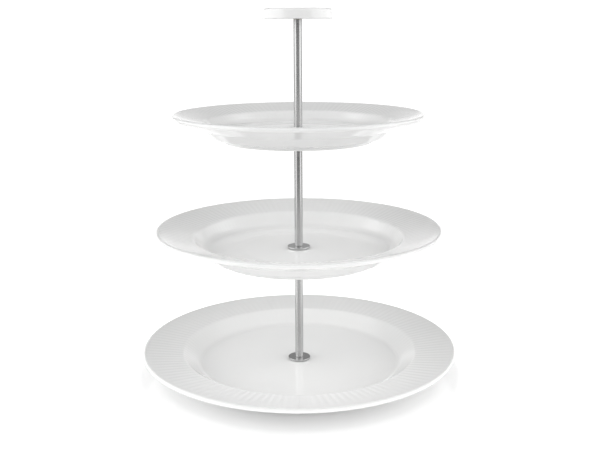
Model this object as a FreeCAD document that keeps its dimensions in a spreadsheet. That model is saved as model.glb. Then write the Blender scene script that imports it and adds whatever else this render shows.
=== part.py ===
import FreeCAD, Part
import os

import Sketcher
from FreeCAD import Vector

# Three-tier cake stand: porcelain plates clamped on a screwed steel post, with a porcelain knob.
# Millimetres, +Z up. The origin is on the post's axis, where the large plate's foot ring stands.
# Every piece is a body of revolution about the post's axis, drawn as its half outline
# (radius, height) in a sketch on the XZ plane.

DIMENSIONS = {
    # plates: outer radius, and heights above the plate's own foot
    "large_radius": 140, "large_lip": 25.3, "large_shoulder": 21, "large_floor": 9.3,
    "medium_radius": 125, "medium_lip": 28, "medium_shoulder": 20.1, "medium_floor": 7.7,
    "small_radius": 108, "small_lip": 24.2, "small_shoulder": 17.7, "small_floor": 9,
    "large_belly": 4.2, "medium_belly": 5.4, "small_belly": 4,
    # plates: radii of the inner features
    "large_shoulder_radius": 105, "large_well_radius": 90, "large_foot_radius": 83,
    "medium_shoulder_radius": 92.5, "medium_well_radius": 83.5, "medium_foot_radius": 73,
    "small_shoulder_radius": 80, "small_well_radius": 72, "small_foot_radius": 64,
    # plates: porcelain
    "floor_thickness": 4.5, "lip_thickness": 3.8, "rim_thickness": 6.5, "foot_width": 4.5,
    "plate_hole_radius": 3.2, "lip_round": 1.85, "shoulder_round": 6, "well_round": 11,
    "cavetto_round": 5, "foot_round": 1.2,
    # post
    "tier_pitch": 104.6, "rod_radius": 3.6, "rod_chamfer": 0.3, "knob_height": 311.3,
    "tapped_radius": 2.05, "tapped_depth": 9, "thread_radius": 2, "thread_reach": 8.4,
    "stud_grip": 8, "stud_chamfer": 0.4,
    # washers, gaskets and screw
    "flange_radius": 10, "flange_thickness": 1.5, "flange_round": 0.3, "washer_bore": 2.2,
    "gasket_radius": 8.5, "gasket_thickness": 0.5, "collar_radius": 2.9, "collar_length": 1.8,
    "washer_radius": 9, "washer_thickness": 1.2, "washer_chamfer": 0.2,
    "head_radius": 5, "head_height": 2.2, "head_round": 0.6, "slot_width": 1.2, "slot_depth": 1,
    # knob
    "knob_radius": 30, "knob_top_radius": 28.6, "knob_thickness": 9, "knob_dish": 0.8,
    "knob_top_round": 2, "knob_bottom_round": 0.7, "knob_stud_reach": 4.9, "knob_bore_depth": 5.4,
    "insert_radius": 4, "insert_length": 6, "glue_gap": 0.1,
}

# Heights above the ground that several pieces share.
FLOOR = {
    "large": "Dims.large_floor",
    "medium": "Dims.large_floor + Dims.tier_pitch",
    "small": "Dims.large_floor + 2 * Dims.tier_pitch",
}
CLAMP = "Dims.gasket_thickness + Dims.flange_thickness"
SEAT = "Dims.floor_thickness + Dims.gasket_thickness + Dims.washer_thickness"
FLANGE_TOP = {tier: f"{floor} + {CLAMP}" for tier, floor in FLOOR.items()}
SEAT_BOTTOM = {tier: f"{floor} - ({SEAT})" for tier, floor in FLOOR.items()}

doc = FreeCAD.newDocument("CakeStand")
sheet = doc.addObject("Spreadsheet::Sheet", "Dims")
for row, (alias, size) in enumerate(DIMENSIONS.items(), start=1):
    sheet.set(f"A{row}", alias)
    sheet.set(f"B{row}", str(size))
    sheet.setAlias(f"B{row}", alias)
doc.recompute()


def origin_plane(body, role):
    """The body's own origin plane with this role."""
    return next(item for item in body.Origin.OriginFeatures if item.Role == role)


def value(expression):
    """The number that an expression over the sheet gives now."""
    return float(sheet.evalExpression(expression.replace("Dims.", "")))


def hold(sketch, line, direction, axis, expression):
    """Ties a line's first point to the sheet along one direction, or puts it on the axis."""
    size = value(expression)
    if abs(size) < 1e-9:
        sketch.addConstraint(Sketcher.Constraint("PointOnObject", line, 1, axis))
        return
    distance = Sketcher.Constraint("Distance" + direction, -1, 1, line, 1, size)
    index = sketch.addConstraint(distance)
    sketch.setExpression(f"Constraints[{index}]", expression)


def closed_outline(body, name, plane, outline):
    """A closed sketch of straight lines through corners given as pairs of expressions."""
    sketch = body.newObject("Sketcher::SketchObject", name)
    sketch.AttachmentSupport = [(origin_plane(body, plane), "")]
    sketch.MapMode = "FlatFace"
    corners = [Vector(value(across), value(up), 0) for across, up in outline]
    lines = range(len(corners))
    for line in lines:
        sketch.addGeometry(Part.LineSegment(corners[line], corners[(line + 1) % len(corners)]))
    for line in lines:
        sketch.addConstraint(Sketcher.Constraint("Coincident", line, 2, (line + 1) % len(corners), 1))
    for line, (across, up) in enumerate(outline):
        hold(sketch, line, "X", -2, across)
        hold(sketch, line, "Y", -1, up)
    return sketch


def rings(feature, corners):
    """The names of the circular edges at these corners of the outline."""
    wanted = [(value(radius), value(height)) for radius, height in corners]
    names = []
    for index, edge in enumerate(feature.Shape.Edges, start=1):
        if edge.Curve.TypeId != "Part::GeomCircle":
            continue
        ring = edge.Curve
        if any(abs(ring.Radius - r) < 1e-4 and abs(ring.Center.z - z) < 1e-4 for r, z in wanted):
            names.append(f"Edge{index}")
    if len(names) != len(wanted):
        raise RuntimeError(f"{feature.Name}: {len(names)} edges found for {len(wanted)} corners")
    return names


def dress(body, kind, size, corners):
    """Rounds (Fillet) or breaks (Chamfer) the ring edges at these corners."""
    base = body.Tip
    edges = rings(base, corners)
    feature = body.newObject("PartDesign::" + kind, f"{body.Name}_{kind.lower()}")
    feature.Base = (base, edges)
    feature.setExpression("Radius" if kind == "Fillet" else "Size", size)
    doc.recompute()


def turned(name, outline, height="0", dressing=()):
    """A body turned about the post's axis, standing at this height."""
    body = doc.addObject("PartDesign::Body", name)
    body.Label = name
    body.setExpression("Placement.Base.z", height)
    sketch = closed_outline(body, name + "_outline", "XZ_Plane", outline)
    revolution = body.newObject("PartDesign::Revolution", name + "_turned")
    revolution.Profile = sketch
    revolution.ReferenceAxis = (sketch, ["V_Axis"])
    revolution.Angle = 360
    sketch.Visibility = False
    doc.recompute()
    for kind, size, corners in dressing:
        dress(body, kind, size, corners)
    return body


def plate(tier):
    """A glazed plate: well, raised rim and foot ring, on heights above its own foot."""
    size = {key: f"Dims.{tier}_{key}" for key in (
        "radius", "lip", "shoulder", "floor", "belly", "shoulder_radius", "well_radius",
        "foot_radius")}
    recess = f"{size['floor']} - Dims.floor_thickness"
    inner_foot = f"{size['foot_radius']} - Dims.foot_width"
    well = (size["well_radius"], size["floor"])
    shoulder = (size["shoulder_radius"], size["shoulder"])
    lip_top = (size["radius"], size["lip"])
    lip_bottom = (size["radius"], f"{size['lip']} - Dims.lip_thickness")
    under_shoulder = (f"{size['shoulder_radius']} + 3.5",
                      f"{size['shoulder']} + 0.6 - Dims.rim_thickness")
    under_slope = (f"{size['foot_radius']} + 0.55 * ({size['shoulder_radius']} - {size['foot_radius']})",
                   size["belly"])
    foot_top = (f"{size['foot_radius']} + 1.5", "2.5")
    foot_outer = (size["foot_radius"], "0")
    foot_inner = (inner_foot, "0")
    recess_edge = (f"{inner_foot} - 2", recess)
    hole_bottom = ("Dims.plate_hole_radius", recess)
    hole_top = ("Dims.plate_hole_radius", size["floor"])
    outline = [hole_top, well, shoulder, lip_top, lip_bottom, under_shoulder, under_slope,
               foot_top, foot_outer, foot_inner, recess_edge, hole_bottom]
    dressing = [
        ("Fillet", "Dims.well_round", [well]),
        ("Fillet", "Dims.shoulder_round", [shoulder]),
        ("Fillet", "Dims.lip_round", [lip_top, lip_bottom]),
        ("Fillet", "Dims.cavetto_round", [under_shoulder, under_slope]),
        ("Fillet", "Dims.foot_round", [foot_outer, foot_inner]),
    ]
    turned(f"{tier}_plate", outline, f"{FLOOR[tier]} - {size['floor']}", dressing)


def gasket(name, height, above):
    """A soft washer with a collar that lines the plate's hole, above or below the plate."""
    side = 1 if above else -1
    face, outer = "0", f"{side} * Dims.gasket_thickness"
    collar_end = f"{-side} * Dims.collar_length"
    outline = [
        ("Dims.washer_bore", outer), ("Dims.gasket_radius", outer), ("Dims.gasket_radius", face),
        ("Dims.collar_radius", face), ("Dims.collar_radius", collar_end),
        ("Dims.washer_bore", collar_end),
    ]
    turned(name, outline, height)


def flat_ring(radius, thickness):
    """The half outline of a flat ring with the washers' bore, standing on height 0."""
    bore = "Dims.washer_bore"
    return [(bore, "0"), (radius, "0"), (radius, thickness), (bore, thickness)]


def flange(tier):
    """The flat round flange that the rod's lower end bears on."""
    radius, thickness = "Dims.flange_radius", "Dims.flange_thickness"
    turned(f"{tier_rod(tier)}_flange", flat_ring(radius, thickness),
           f"{FLOOR[tier]} + Dims.gasket_thickness",
           [("Fillet", "Dims.flange_round", [(radius, thickness)])])


def washer(name, height):
    """The plain washer below a plate."""
    radius, thickness = "Dims.washer_radius", "Dims.washer_thickness"
    turned(name, flat_ring(radius, thickness), height,
           [("Chamfer", "Dims.washer_chamfer", [(radius, "0"), (radius, thickness)])])


def tier_rod(tier):
    """The post section that stands on this plate."""
    return {"large": "lower", "medium": "middle", "small": "upper"}[tier]


def rod(tier, top):
    """A round rod from the flange up to this height, tapped at both ends."""
    length = f"({top}) - ({FLANGE_TOP[tier]})"
    bore, depth, outer = "Dims.tapped_radius", "Dims.tapped_depth", "Dims.rod_radius"
    outline = [(bore, "0"), (outer, "0"), (outer, length), (bore, length),
               (bore, f"{length} - {depth}"), ("0", f"{length} - {depth}"), ("0", depth),
               (bore, depth)]
    turned(f"{tier_rod(tier)}_rod", outline, FLANGE_TOP[tier],
           [("Chamfer", "Dims.rod_chamfer", [(outer, "0"), (outer, length)])])


def stud(name, bottom, length):
    """A threaded stud, drawn at its thread's outer diameter."""
    radius = "Dims.thread_radius"
    outline = [("0", "0"), (radius, "0"), (radius, length), ("0", length)]
    turned(name, outline, bottom, [("Chamfer", "Dims.stud_chamfer", [(radius, "0"), (radius, length)])])


def base_screw():
    """The low slotted screw in the large plate's recess, head down, threaded into the lower rod."""
    head, thread = "Dims.head_radius", "Dims.thread_radius"
    top = f"Dims.head_height + {SEAT} + {CLAMP} + Dims.thread_reach"
    outline = [("0", "0"), (head, "0"), (head, "Dims.head_height"), (thread, "Dims.head_height"),
               (thread, top), ("0", top)]
    body = turned("base_screw", outline, f"{SEAT_BOTTOM['large']} - Dims.head_height",
                  [("Fillet", "Dims.head_round", [(head, "0")]),
                   ("Chamfer", "Dims.stud_chamfer", [(thread, top)])])
    uncut = body.Shape.Volume
    half_width, half_length = "Dims.slot_width / 2", "Dims.head_radius + 1"
    corners = [(f"-({half_length})", f"-({half_width})"), (half_length, f"-({half_width})"),
               (half_length, half_width), (f"-({half_length})", half_width)]
    slot = body.newObject("PartDesign::Pocket", "base_screw_slot")
    slot.Profile = closed_outline(body, "slot_outline", "XY_Plane", corners)
    slot.setExpression("Length", "Dims.slot_depth")
    slot.Reversed = True
    doc.recompute()
    if body.Shape.Volume >= uncut:
        raise RuntimeError("the screw slot cuts nothing")


def knob():
    """The porcelain knob, its glued bush and the stud that holds it on the upper rod."""
    outer, top, thickness = "Dims.knob_radius", "Dims.knob_top_radius", "Dims.knob_thickness"
    hole = "Dims.insert_radius + Dims.glue_gap"
    turned("knob", [(hole, "0"), (outer, "0"), (top, thickness),
                    ("0", f"{thickness} - Dims.knob_dish"), ("0", "Dims.insert_length"),
                    (hole, "Dims.insert_length")],
           "Dims.knob_height",
           [("Fillet", "Dims.knob_bottom_round", [(outer, "0")]),
            ("Fillet", "Dims.knob_top_round", [(top, thickness)])])
    bore, length = "Dims.tapped_radius", "Dims.insert_length"
    turned("knob_insert", [(bore, "0"), ("Dims.insert_radius", "0"), ("Dims.insert_radius", length),
                           ("0", length), ("0", "Dims.knob_bore_depth"),
                           (bore, "Dims.knob_bore_depth")], "Dims.knob_height")
    stud("knob_stud", "Dims.knob_height - Dims.stud_grip", "Dims.stud_grip + Dims.knob_stud_reach")


for tier in FLOOR:
    plate(tier)
    flange(tier)
    gasket(f"{tier_rod(tier)}_gasket", FLOOR[tier], above=True)

rod("large", SEAT_BOTTOM["medium"])
rod("medium", SEAT_BOTTOM["small"])
rod("small", "Dims.knob_height")

# What is below each plate: soft washer, steel washer, then the rod below or the base screw.
for tier, prefix in (("large", "base"), ("medium", "middle_seat"), ("small", "upper_seat")):
    gasket(f"{prefix}_gasket", f"{FLOOR[tier]} - Dims.floor_thickness", above=False)
    washer(f"{prefix}_washer", SEAT_BOTTOM[tier])

for tier in ("medium", "small"):
    stud(f"{tier_rod(tier)}_stud", f"{SEAT_BOTTOM[tier]} - Dims.thread_reach",
         f"Dims.thread_reach + {SEAT} + {CLAMP} + Dims.stud_grip")

base_screw()
knob()
doc.recompute()

failed = [item.Name for item in doc.Objects if {"Invalid", "Error"} & set(item.State)]
if failed:
    raise RuntimeError(f"features failed: {failed}")

bodies = [item for item in doc.Objects if item.TypeId == "PartDesign::Body"]
for body in bodies:
    if body.Shape.isNull() or not body.Shape.isValid() or len(body.Shape.Solids) != 1:
        raise RuntimeError(f"{body.Label} is not one valid solid")

os.makedirs("parts", exist_ok=True)
for body in bodies:
    body.Shape.exportStep(f"parts/{body.Label}.step")
print(len(bodies), "pieces written")
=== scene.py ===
import math

import bmesh
import bpy
import numpy as np
from mathutils import Matrix, Vector


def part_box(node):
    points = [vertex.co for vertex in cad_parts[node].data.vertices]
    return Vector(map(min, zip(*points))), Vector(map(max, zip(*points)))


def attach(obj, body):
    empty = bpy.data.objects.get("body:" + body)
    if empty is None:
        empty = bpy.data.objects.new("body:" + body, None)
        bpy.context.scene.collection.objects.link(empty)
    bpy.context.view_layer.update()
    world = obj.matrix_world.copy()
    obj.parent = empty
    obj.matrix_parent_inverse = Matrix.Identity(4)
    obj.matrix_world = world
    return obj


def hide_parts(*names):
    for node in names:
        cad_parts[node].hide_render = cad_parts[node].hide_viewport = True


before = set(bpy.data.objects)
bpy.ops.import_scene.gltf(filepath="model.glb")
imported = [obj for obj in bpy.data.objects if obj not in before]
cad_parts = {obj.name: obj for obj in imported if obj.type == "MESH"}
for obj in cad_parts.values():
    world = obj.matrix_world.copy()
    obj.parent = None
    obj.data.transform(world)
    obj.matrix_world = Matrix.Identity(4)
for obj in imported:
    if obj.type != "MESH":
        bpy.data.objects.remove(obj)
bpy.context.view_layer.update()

MM = 0.001
TURN = 2 * math.pi

# Camera: the stand's axis is X = Y = 0, and the camera looks along +Y and down.
CAMERA_DISTANCE = 726.7 * MM
CAMERA_HEIGHT = 306.6 * MM
CAMERA_PITCH = math.radians(13.32)
CAMERA_ROLL = math.radians(0.3)
CAMERA_LENS = 50.74
CAMERA_SHIFT = 0.0022

# Plates: radii and heights above the plate's own foot; the outer sizes come from the frame.
PLATES = {
    "large": dict(lip=25.3, shoulder=(105, 21), well=(90, 9.3), belly=4.2, foot=83, flutes=126, ring=0),
    "medium": dict(lip=28, shoulder=(92.5, 20.1), well=(83.5, 7.7), belly=5.4, foot=73, flutes=124, ring=58),
    "small": dict(lip=24.2, shoulder=(80, 17.7), well=(72, 9), belly=4, foot=64, flutes=120, ring=44),
}
POST_OF = {"large": "lower", "medium": "middle", "small": "upper"}
FLOOR_THICKNESS = 4.5 * MM
LIP_THICKNESS = 3.8 * MM
RIM_THICKNESS = 6.5 * MM
PLATE_HOLE = 3.2 * MM
FLUTE_DEPTH = 0.17 * MM
STEPS_PER_FLUTE = 6
RING_HEIGHT = 0.24 * MM
RING_REACH = 8 * MM

# Threads, and the bores they pass through.
THREAD_PITCH = 0.7 * MM
THREAD_DEPTH = 0.38 * MM
THREAD_RADIUS = 2 * MM
THREAD_CHAMFER = 0.4 * MM
TAPPED_BORE = 2.05 * MM
PLAIN_BORE = 2.2 * MM
TAPPED_DEPTH = 9 * MM

# Small turned parts.
ROD_CHAMFER = 0.35 * MM
FLANGE_EDGE = 0.3 * MM
WASHER_EDGE = 0.2 * MM
GASKET_COLLAR = 2.9 * MM
GASKET_THICKNESS = 0.5 * MM
SCREW_HEAD_HEIGHT = 2.2 * MM
SLOT_WIDTH = 1.2 * MM
SLOT_DEPTH = 1 * MM

# Knob: its lower edge is wider than its upper one.
KNOB_RADIUS = 30 * MM
KNOB_TOP_RADIUS = 28.6 * MM
KNOB_HEIGHT = 9 * MM
KNOB_DISH = 0.8 * MM
KNOB_DISH_BORDER = 6 * MM
INSERT_HOLE = 4.1 * MM
INSERT_LENGTH = 6 * MM
INSERT_BORE_DEPTH = 5.4 * MM


# Studio: bands of the sky by the elevation where each starts, in degrees. Each is (azimuth, brightness)
# stops around the horizon; azimuth 0 is the camera's side, minus is its left.
STUDIO = (
    (-90, ((-180, 0.95), (-85, 0.95), (-70, 0.2), (70, 0.2), (85, 0.95), (180, 0.95))),
    (-20, ((-180, 1.2), (-137, 1.2), (-132, 0.0), (-100, 0.0), (-94, 1.65), (-45, 1.65), (-39, 0.2),
           (39, 0.2), (45, 1.7), (94, 1.7), (100, 0.0), (132, 0.0), (137, 1.2), (180, 1.2))),
    (2, ((-180, 1.2), (-140, 1.2), (-130, 1.8), (-100, 1.8), (-92, 3.0), (-52, 3.0), (-44, 0.6),
         (44, 0.6), (52, 2.5), (92, 2.5), (100, 1.9), (130, 1.9), (140, 1.2), (180, 1.2))),
    (10, ((-180, 0.5), (-142, 0.5), (-130, 1.8), (-100, 1.8), (-92, 2.6), (-52, 2.6), (-44, 0.7),
          (44, 0.7), (52, 2.3), (92, 2.3), (100, 1.9), (130, 1.9), (142, 0.5), (180, 0.5))),
    (23, ((-180, 0.2), (-132, 0.2), (-120, 2.5), (-60, 2.5), (-50, 1.8),
          (50, 1.8), (60, 2.1), (120, 2.1), (132, 0.2), (180, 0.2))),
    (40, ((-180, 0.4), (-130, 0.4), (-120, 1.9), (-60, 1.9), (-50, 1.2),
          (50, 1.2), (60, 1.8), (120, 1.8), (130, 0.4), (180, 0.4))),
    (55, ((-180, 0.0), (180, 0.0))),
)
FLOOR_RADIUS = 0.42
# Painted light on the floor: it glows by these amounts at these distances from the axis, in metres, little under
# the stand as a painted shadow there, more beside it.
FLOOR_PAINTED_GLOW = ((0.0, 0.05), (0.125, 0.05), (0.143, 0.26), (0.15, 0.55))
BAND_BLEND = 3
BACKDROP_STRENGTH = 1.15


# ---------------------------------------------------------------- meshes

def rounded(corners, arc_step=math.radians(13)):
    """A closed outline through corners (radius, height, rounding), each corner an arc of that radius."""
    points = []
    for index, (x, z, size) in enumerate(corners):
        here = Vector((x, z))
        before = Vector(corners[index - 1][:2]) - here
        after = Vector(corners[(index + 1) % len(corners)][:2]) - here
        half = before.angle(after) / 2
        if size <= 0:
            points.append(here)
            continue
        reach = size / math.tan(half)
        start, end = here + before.normalized() * reach, here + after.normalized() * reach
        centre = here + (before.normalized() + after.normalized()).normalized() * size / math.sin(half)
        sweep = math.pi - 2 * half
        steps = max(2, math.ceil(sweep / arc_step))
        first, last = start - centre, end - centre
        for step in range(steps + 1):
            share = step / steps
            weight_a = math.sin((1 - share) * sweep) / math.sin(sweep)
            weight_b = math.sin(share * sweep) / math.sin(sweep)
            points.append(centre + first * weight_a + last * weight_b)
    return points


def supported(points, spacing, guard=0.15 * MM):
    """The outline with guard points beside its arcs and long stretches divided, so that it shades smoothly."""
    made = []
    for index, here in enumerate(points):
        there = points[(index + 1) % len(points)]
        length = (there - here).length
        made.append(here)
        if length < 6 * guard:
            continue
        inner = max(1, math.ceil((length - 2 * guard) / spacing))
        for step in range(inner + 1):
            made.append(here.lerp(there, (guard + (length - 2 * guard) * step / inner) / length))
    return made


def smooth_mesh(name, vertices, faces):
    mesh = bpy.data.meshes.new(name)
    mesh.from_pydata([tuple(v) for v in vertices], [], faces)
    mesh.polygons.foreach_set("use_smooth", [True] * len(mesh.polygons))
    mesh.update()
    piece = bpy.data.objects.new(name, mesh)
    bpy.context.scene.collection.objects.link(piece)
    return piece


def lathe(name, outline, segments=96, relief=None):
    """A closed outline of (radius, height) turned about Z. An outline that touches the axis is closed there
    by single points. relief(radius, angles) gives how far the upper surface stands out along its normal."""
    angles = np.arange(segments) * TURN / segments
    cosines, sines = np.cos(angles), np.sin(angles)
    vertices, rings = [], []
    for index, point in enumerate(outline):
        if point[0] < 1e-7:
            rings.append([len(vertices)])
            vertices.append((0.0, 0.0, point[1]))
            continue
        radius, height = np.full(segments, point[0]), np.full(segments, point[1])
        if relief:
            across = outline[(index + 1) % len(outline)] - outline[index - 1]
            normal = Vector((-across[1], across[0])).normalized()
            offset = relief(point[0], angles) * max(0.0, normal[1])
            radius, height = radius + normal[0] * offset, height + normal[1] * offset
        rings.append(range(len(vertices), len(vertices) + segments))
        vertices.extend(zip(radius * cosines, radius * sines, height))
    faces = []
    for index, ring in enumerate(rings):
        other = rings[(index + 1) % len(rings)]
        if len(ring) == 1 and len(other) == 1:
            continue
        for step in range(segments):
            following = (step + 1) % segments
            corners = [ring[step % len(ring)], ring[following % len(ring)],
                       other[following % len(other)], other[step % len(other)]]
            faces.append(list(dict.fromkeys(corners)))
    piece = smooth_mesh(name, vertices, faces)
    face_outwards(piece)
    return piece


def face_outwards(piece):
    build = bmesh.new()
    build.from_mesh(piece.data)
    bmesh.ops.recalc_face_normals(build, faces=build.faces)
    build.to_mesh(piece.data)
    build.free()


def helix(name, radius, bottom, top, chamfer, segments=32, slices=7):
    """A threaded stud between two heights: one V-shaped ridge that climbs a pitch each turn."""
    rows = math.ceil((top - bottom) / THREAD_PITCH * slices)
    angles = np.arange(segments) * TURN / segments
    vertices = [(0.0, 0.0, bottom)]
    for row in range(rows + 1):
        height = bottom + (top - bottom) * row / rows
        phase = (height / THREAD_PITCH - angles / TURN) % 1.0
        ridge = np.abs(2 * phase - 1)
        cut = THREAD_DEPTH * np.clip(1.15 * ridge - 0.08, 0, 1)
        end = min(height - bottom, top - height)
        limit = radius - max(0.0, chamfer - end)
        ring = np.minimum(radius - cut, limit)
        vertices.extend(zip(ring * np.cos(angles), ring * np.sin(angles), np.full(segments, height)))
    vertices.append((0.0, 0.0, top))
    last = len(vertices) - 1
    faces = []
    for step in range(segments):
        following = (step + 1) % segments
        faces.append([0, 1 + following, 1 + step])
        faces.append([last, last - segments + step, last - segments + following])
        for row in range(rows):
            low, high = 1 + row * segments, 1 + (row + 1) * segments
            faces.append([low + step, low + following, high + following, high + step])
    piece = smooth_mesh(name, vertices, faces)
    face_outwards(piece)
    return piece


# ---------------------------------------------------------------- materials

class Nodes:
    """A short way to write a node tree: make(kind, inputs..., settings...) links or sets each input."""

    def __init__(self, name):
        self.material = bpy.data.materials.new(name)
        self.material.use_nodes = True
        self.tree = self.material.node_tree
        self.shader = self.tree.nodes["Principled BSDF"]

    def make(self, kind, inputs=(), **settings):
        node = self.tree.nodes.new("ShaderNode" + kind)
        for key, setting in settings.items():
            setattr(node, key, setting)
        self.feed(node, dict(inputs))
        return node

    def feed(self, node, inputs):
        for key, source in inputs.items():
            socket = node.inputs[key]
            if isinstance(source, bpy.types.NodeSocket):
                self.tree.links.new(source, socket)
            else:
                socket.default_value = source

    def noise(self, place, scale, detail=3.0, roughness=0.5):
        return self.make("TexNoise", {"Vector": place, "Scale": scale, "Detail": detail,
                                      "Roughness": roughness}).outputs["Fac"]

    def ramp(self, source, *stops):
        """A colour ramp through (position, colour) stops; a number stands for a grey."""
        node = self.make("ValToRGB", {"Fac": source})
        elements = node.color_ramp.elements
        while len(elements) < len(stops):
            elements.new(0.5)
        for element, (position, colour) in zip(elements, stops):
            element.position = position
            grey = (colour,) * 3 if isinstance(colour, (int, float)) else colour
            element.color = (*grey, 1.0)
        return node.outputs["Color"]

    def maths(self, operation, *sources):
        node = self.make("Math", {index: s for index, s in enumerate(sources)}, operation=operation)
        return node.outputs["Value"]

    def mix(self, share, first, second):
        node = self.make("Mix", data_type="RGBA")
        self.feed(node, {0: share, 6: first, 7: second})
        return node.outputs[2]

    def bump(self, height, distance, strength=1.0, under=None):
        inputs = {"Height": height, "Distance": distance, "Strength": strength}
        if under is not None:
            inputs["Normal"] = under
        return self.make("Bump", inputs).outputs["Normal"]

    def place(self):
        return self.make("TexCoord").outputs["Object"]

    def stretched(self, scale):
        return self.make("Mapping", {"Vector": self.place(), "Scale": scale}).outputs["Vector"]


def grey(level):
    return (level, level, level, 1.0)


def porcelain(name, foot):
    """White glaze over hard porcelain, with a bare ground ring where the piece stands, at this height."""
    n = Nodes(name)
    place = n.place()
    height = n.make("SeparateXYZ", {"Vector": place}).outputs["Z"]
    cloud = n.noise(place, 9.0, 2.0)
    tint = n.ramp(cloud, (0.3, (0.795, 0.797, 0.795)), (0.7, (0.83, 0.83, 0.825)))
    speck = n.ramp(n.noise(place, 1400.0, 0.0), (0.80, 0.0), (0.84, 0.35))
    glaze = n.mix(speck, tint, (0.62, 0.60, 0.57, 1.0))
    bare = n.maths("LESS_THAN", height, foot)
    grain = n.noise(place, 5200.0, 2.0)
    bisque = n.ramp(grain, (0.3, (0.70, 0.69, 0.66)), (0.7, (0.80, 0.79, 0.77)))
    colour = n.mix(bare, glaze, bisque)
    sheen = n.ramp(n.noise(place, 60.0, 2.0), (0.3, 0.05), (0.75, 0.09))
    rough = n.mix(bare, sheen, grey(0.72))
    ripple = n.bump(n.noise(place, 75.0, 1.0), 0.00002, 0.2)
    n.feed(n.shader, {
        "Base Color": colour, "Roughness": rough, "Normal": ripple,
        "IOR": 1.52, "Subsurface Weight": 0.0,
    })
    return n.material


def steel(name, colour, rough, spread, scratch_scale, scratch_depth, turned=0.0):
    """Stainless steel with slightly uneven polish; turned is how much its turning marks spread light along Z."""
    n = Nodes(name)
    marks = n.noise(n.stretched(scratch_scale), 1.0, 4.0, 0.65)
    patch = n.noise(n.place(), 160.0, 3.0)
    shade = n.ramp(marks, (0.3, tuple(0.94 * c for c in colour)), (0.7, colour))
    uneven = n.ramp(n.maths("ADD", n.maths("MULTIPLY", marks, 0.6), n.maths("MULTIPLY", patch, 0.4)),
                    (0.3, rough), (0.7, rough + spread))
    n.feed(n.shader, {
        "Base Color": shade, "Metallic": 1.0, "Roughness": uneven,
        "Normal": n.bump(marks, scratch_depth, 0.5),
        "Anisotropic": turned, "Anisotropic Rotation": 0.25,
    })
    return n.material


def brass(name):
    n = Nodes(name)
    patch = n.noise(n.place(), 700.0, 4.0)
    n.feed(n.shader, {
        "Base Color": n.ramp(patch, (0.3, (0.60, 0.43, 0.18)), (0.7, (0.74, 0.56, 0.27))),
        "Metallic": 1.0,
        "Roughness": n.ramp(patch, (0.3, 0.25), (0.7, 0.42)),
    })
    return n.material


def silicone(name):
    """Translucent white silicone with a satin moulded skin."""
    n = Nodes(name)
    grain = n.noise(n.place(), 2600.0, 3.0)
    n.feed(n.shader, {
        "Base Color": n.ramp(n.noise(n.place(), 300.0),
                             (0.3, (0.70, 0.71, 0.70)), (0.7, (0.78, 0.78, 0.77))),
        "Roughness": n.ramp(grain, (0.3, 0.42), (0.7, 0.58)),
        "Normal": n.bump(grain, 0.00001, 0.4),
        "IOR": 1.41,
    })
    return n.material


# ---------------------------------------------------------------- pieces

def finished(piece, body, node, material):
    """Puts the material on the piece, lets it ride on its body and stand for its CAD node."""
    piece.data.materials.clear()
    piece.data.materials.append(material)
    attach(piece, body)
    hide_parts(node)
    return piece


def smoothstep(low, high, value):
    share = np.clip((value - low) / (high - low), 0.0, 1.0)
    return share * share * (3 - 2 * share)


def plate_outline(tier, node):
    """The plate's half section, upper surface first, from the hole outwards."""
    low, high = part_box(node)
    base, radius = low.z, high.x
    shape = PLATES[tier]
    shoulder_r, shoulder_z = (value * MM for value in shape["shoulder"])
    well_r, floor = (value * MM for value in shape["well"])
    foot = shape["foot"] * MM
    lip = shape["lip"] * MM
    recess = floor - FLOOR_THICKNESS
    ring = shape["ring"] * MM
    swell = [(ring - RING_REACH, floor, 80 * MM), (ring, floor + RING_HEIGHT, 80 * MM),
             (ring + RING_REACH, floor, 80 * MM)] if ring else []
    corners = [
        (PLATE_HOLE, floor, 0.5 * MM),
        *swell,
        (well_r, floor, 11 * MM),
        (shoulder_r, shoulder_z, 6 * MM),
        (radius, lip, 1.85 * MM),
        (radius, lip - LIP_THICKNESS, 1.85 * MM),
        (shoulder_r + 3.5 * MM, shoulder_z + 0.6 * MM - RIM_THICKNESS, 5 * MM),
        (foot + 0.55 * (shoulder_r - foot), shape["belly"] * MM, 5 * MM),
        (foot + 1.5 * MM, 2.5 * MM, 0.8 * MM),
        (foot, 0, 1.2 * MM),
        (foot - 4.5 * MM, 0, 1.2 * MM),
        (foot - 6.5 * MM, recess, 1.5 * MM),
        (PLATE_HOLE, recess, 0.5 * MM),
    ]
    return [(r, base + z, size) for r, z, size in corners]


def plate_relief(tier, radius):
    """Radial flutes, shallow hollows between narrow ridges, from just inside the lip to part of the way
    down the slope."""
    shape = PLATES[tier]
    shoulder_r, well_r = shape["shoulder"][0] * MM, shape["well"][0] * MM
    slope = shoulder_r - well_r

    def relief(r, angles):
        window = smoothstep(well_r + 0.15 * slope, shoulder_r - 0.15 * slope, r)
        window *= 1 - smoothstep(radius - 4.2 * MM, radius - 2.2 * MM, r)
        hollow = np.abs(np.sin(angles * shape["flutes"] / 2))
        return FLUTE_DEPTH * window * (0.6 - hollow)
    return relief


def plate(tier, body):
    node = tier + "_plate"
    low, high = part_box(node)
    outline = supported(rounded(plate_outline(tier, node)), 8 * MM)
    segments = PLATES[tier]["flutes"] * STEPS_PER_FLUTE
    piece = lathe(f"{node}_fluted", outline, segments, plate_relief(tier, high.x))
    return finished(piece, body, node, porcelain(f"porcelain_{tier}", low.z + 0.35 * MM))


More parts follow.
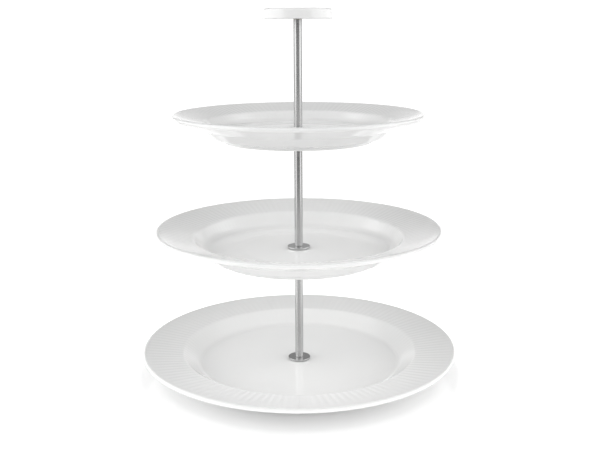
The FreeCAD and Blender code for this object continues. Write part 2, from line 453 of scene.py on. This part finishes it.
def rod(name, body, material):
    low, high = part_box(name)
    bore, depth = TAPPED_BORE, TAPPED_DEPTH
    corners = [
        (bore, low.z, 0), (high.x, low.z, ROD_CHAMFER), (high.x, high.z, ROD_CHAMFER), (bore, high.z, 0),
        (bore, high.z - depth, 0), (0, high.z - depth, 0), (0, low.z + depth, 0), (bore, low.z + depth, 0),
    ]
    piece = lathe(name + "_turned", supported(rounded(corners), 30 * MM), 96)
    return finished(piece, body, name, material)


def disc(name, body, material, edge):
    """A flat round washer with a rounded upper edge."""
    low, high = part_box(name)
    corners = [(PLAIN_BORE, low.z, 0.1 * MM), (high.x, low.z, 0.1 * MM), (high.x, high.z, edge),
               (PLAIN_BORE, high.z, 0.1 * MM)]
    piece = lathe(name + "_turned", supported(rounded(corners), 3 * MM), 96)
    return finished(piece, body, name, material)


def gasket(name, body, material, above):
    """A soft washer with a collar that points down into the plate's hole, or up from below it."""
    low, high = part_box(name)
    bore, collar = PLAIN_BORE, GASKET_COLLAR
    if above:
        outer, face, end = high.z, high.z - GASKET_THICKNESS, low.z
    else:
        outer, face, end = low.z, low.z + GASKET_THICKNESS, high.z
    corners = [(bore, outer, 0.1 * MM), (high.x, outer, 0.2 * MM), (high.x, face, 0.2 * MM),
               (collar, face, 0), (collar, end, 0.1 * MM), (bore, end, 0.1 * MM)]
    piece = lathe(name + "_moulded", supported(rounded(corners), 3 * MM), 72)
    return finished(piece, body, name, material)


def stud(name, body, material):
    low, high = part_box(name)
    piece = helix(name + "_threaded", high.x, low.z, high.z, THREAD_CHAMFER)
    return finished(piece, body, name, material)


def base_screw(material):
    """Slotted head below, threaded shank above, in one mesh."""
    low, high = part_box("base_screw")
    head_top = low.z + SCREW_HEAD_HEIGHT
    corners = [(0, low.z, 0), (high.x, low.z, 0.6 * MM), (high.x, head_top, 0.15 * MM), (0, head_top, 0)]
    head = lathe("base_screw_head", supported(rounded(corners), 2 * MM), 96)
    bpy.ops.mesh.primitive_cube_add(size=1.0)
    cutter = bpy.context.active_object
    cutter.scale = (high.x * 3, SLOT_WIDTH, 2 * SLOT_DEPTH)
    cutter.location = (0, 0, low.z)
    cut = head.modifiers.new("slot", "BOOLEAN")
    cut.operation, cut.object, cut.solver = "DIFFERENCE", cutter, "EXACT"
    graph = bpy.context.evaluated_depsgraph_get()
    mesh = bpy.data.meshes.new_from_object(head.evaluated_get(graph))
    head.modifiers.clear()
    head.data = mesh
    bpy.data.objects.remove(cutter)
    shank = helix("base_screw_shank", THREAD_RADIUS, head_top - 0.1 * MM, high.z, THREAD_CHAMFER)
    with bpy.context.temp_override(active_object=head, selected_editable_objects=[head, shank]):
        bpy.ops.object.join()
    head.name = "base_screw_slotted"
    return finished(head, "base", "base_screw", material)


def knob(body):
    low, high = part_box("knob")
    top, dish, hole_end = low.z + KNOB_HEIGHT, low.z + KNOB_HEIGHT - KNOB_DISH, low.z + INSERT_LENGTH
    corners = [
        (INSERT_HOLE, low.z, 0.4 * MM), (KNOB_RADIUS, low.z, 0.7 * MM), (KNOB_TOP_RADIUS, top, 2 * MM),
        (KNOB_TOP_RADIUS - KNOB_DISH_BORDER, dish, 12 * MM), (0, dish, 0),
        (0, hole_end, 0), (INSERT_HOLE, hole_end, 0),
    ]
    piece = lathe("knob_disc", supported(rounded(corners), 6 * MM), 192)
    nowhere_bare = low.z - 1
    return finished(piece, body, "knob", porcelain("porcelain_knob", nowhere_bare))


def knob_insert(body, material):
    low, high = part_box("knob_insert")
    bore, bore_end = TAPPED_BORE, low.z + INSERT_BORE_DEPTH
    corners = [(bore, low.z, 0.2 * MM), (high.x, low.z, 0.3 * MM), (high.x, high.z, 0.2 * MM),
               (0, high.z, 0), (0, bore_end, 0), (bore, bore_end, 0)]
    piece = lathe("knob_insert_turned", supported(rounded(corners), 2 * MM), 72)
    return finished(piece, body, "knob_insert", material)


rod_steel = steel("rod_steel", (0.48, 0.48, 0.48), 0.20, 0.04, (700.0, 700.0, 6000.0), 0.0000006, turned=1.0)
disc_steel = steel("disc_steel", (0.5, 0.5, 0.5), 0.07, 0.06, (500.0, 500.0, 500.0), 0.000001)
screw_steel = steel("screw_steel", (0.55, 0.55, 0.55), 0.22, 0.14, (600.0, 600.0, 600.0), 0.000004)
soft_white = silicone("soft_white")

# The large plate's flange rises with the lowest rod; the other flanges stay on their plates.
for tier, body, flange_body in (("large", "base", "lower_flange"), ("medium", "medium_tier", "medium_tier"),
                                ("small", "small_tier", "small_tier")):
    plate(tier, body)
    gasket(POST_OF[tier] + "_gasket", body, soft_white, above=True)
    disc(POST_OF[tier] + "_flange", flange_body, disc_steel, FLANGE_EDGE)

rod("lower_rod", "lower_post", rod_steel)
rod("middle_rod", "medium_tier", rod_steel)
rod("upper_rod", "small_tier", rod_steel)

for prefix, gasket_body, washer_body in (("base", "base", "base"),
                                         ("middle_seat", "middle_seat", "lower_post"),
                                         ("upper_seat", "upper_seat", "medium_tier")):
    gasket(prefix + "_gasket", gasket_body, soft_white, above=False)
    disc(prefix + "_washer", washer_body, disc_steel, WASHER_EDGE)

stud("middle_stud", "medium_tier", screw_steel)
stud("upper_stud", "small_tier", screw_steel)
stud("knob_stud", "knob_stud", screw_steel)
base_screw(screw_steel)
knob("knob")
knob_insert("knob", brass("brass"))


# ---------------------------------------------------------------- stage

def world_light():
    """Even white behind the stand. The studio that lights it is a sky in bands, each a ramp around the
    horizon."""
    world = bpy.data.worlds.new("studio")
    bpy.context.scene.world = world
    world.use_nodes = True
    nodes, links = world.node_tree.nodes, world.node_tree.links

    def maths(operation, *sources):
        node = nodes.new("ShaderNodeMath")
        node.operation = operation
        for socket, source in zip(node.inputs, sources):
            if isinstance(source, bpy.types.NodeSocket):
                links.new(source, socket)
            else:
                socket.default_value = source
        return node.outputs["Value"]

    split = nodes.new("ShaderNodeSeparateXYZ")
    links.new(nodes.new("ShaderNodeTexCoord").outputs["Generated"], split.inputs[0])
    x, y, z = split.outputs
    around = maths("ARCTAN2", x, maths("MULTIPLY", y, -1.0))
    around = maths("ADD", maths("DIVIDE", around, TURN), 0.5)
    elevation = maths("MULTIPLY", maths("ARCSINE", z), math.degrees(1))

    light = None
    for start, stops in STUDIO:
        band = nodes.new("ShaderNodeValToRGB")
        links.new(around, band.inputs["Fac"])
        elements = band.color_ramp.elements
        while len(elements) < len(stops):
            elements.new(0.5)
        for element, (azimuth, level) in zip(elements, stops):
            element.position, element.color = azimuth / 360 + 0.5, grey(level)
        if light is None:
            light = band.outputs["Color"]
            continue
        share = nodes.new("ShaderNodeMapRange")
        share.interpolation_type = "SMOOTHSTEP"
        links.new(elevation, share.inputs["Value"])
        share.inputs["From Min"].default_value = start - BAND_BLEND
        share.inputs["From Max"].default_value = start + BAND_BLEND
        blend = nodes.new("ShaderNodeMix")
        blend.data_type = "RGBA"
        links.new(share.outputs["Result"], blend.inputs[0])
        links.new(light, blend.inputs[6])
        links.new(band.outputs["Color"], blend.inputs[7])
        light = blend.outputs[2]

    room = nodes.new("ShaderNodeBackground")
    links.new(light, room.inputs["Color"])
    backdrop = nodes["Background"]
    backdrop.inputs["Color"].default_value = grey(1.0)
    backdrop.inputs["Strength"].default_value = BACKDROP_STRENGTH
    mix = nodes.new("ShaderNodeMixShader")
    links.new(nodes.new("ShaderNodeLightPath").outputs["Is Camera Ray"], mix.inputs[0])
    links.new(room.outputs[0], mix.inputs[1])
    links.new(backdrop.outputs[0], mix.inputs[2])
    links.new(mix.outputs[0], nodes["World Output"].inputs["Surface"])


def floor():
    mesh = bpy.data.meshes.new("floor")
    build = bmesh.new()
    bmesh.ops.create_circle(build, cap_ends=True, segments=128, radius=FLOOR_RADIUS)
    build.to_mesh(mesh)
    build.free()
    piece = bpy.data.objects.new("floor", mesh)
    bpy.context.scene.collection.objects.link(piece)
    n = Nodes("floor_white")
    speck = n.noise(n.place(), 40.0, 2.0)
    # The floor's emission is painted light: a radial glow, weak under the stand as a painted shadow and strong
    # beside it.
    away = n.make("VectorMath", {"Vector": n.place()}, operation="LENGTH").outputs["Value"]
    glow = n.ramp(n.maths("DIVIDE", away, FLOOR_RADIUS),
                  *((r / FLOOR_RADIUS, level) for r, level in FLOOR_PAINTED_GLOW))
    n.feed(n.shader, {"Base Color": grey(0.93), "IOR": 1.45, "Emission Color": glow,
                      "Emission Strength": 1.0, "Roughness": n.ramp(speck, (0.3, 0.10), (0.7, 0.14))})
    mesh.materials.append(n.material)
    return piece


def camera():
    data = bpy.data.cameras.new("camera")
    data.sensor_width, data.lens, data.shift_x = 36.0, CAMERA_LENS, CAMERA_SHIFT
    data.clip_start, data.clip_end = 0.01, 50.0
    view = bpy.data.objects.new("camera", data)
    bpy.context.scene.collection.objects.link(view)
    pitch = Matrix.Rotation(math.pi / 2 - CAMERA_PITCH, 4, "X")
    roll = Matrix.Rotation(-CAMERA_ROLL, 4, "Z")
    view.matrix_world = Matrix.Translation((0, -CAMERA_DISTANCE, CAMERA_HEIGHT)) @ pitch @ roll
    bpy.context.scene.camera = view


world_light()
floor()
camera()

bpy.context.scene.view_settings.view_transform = "Standard"
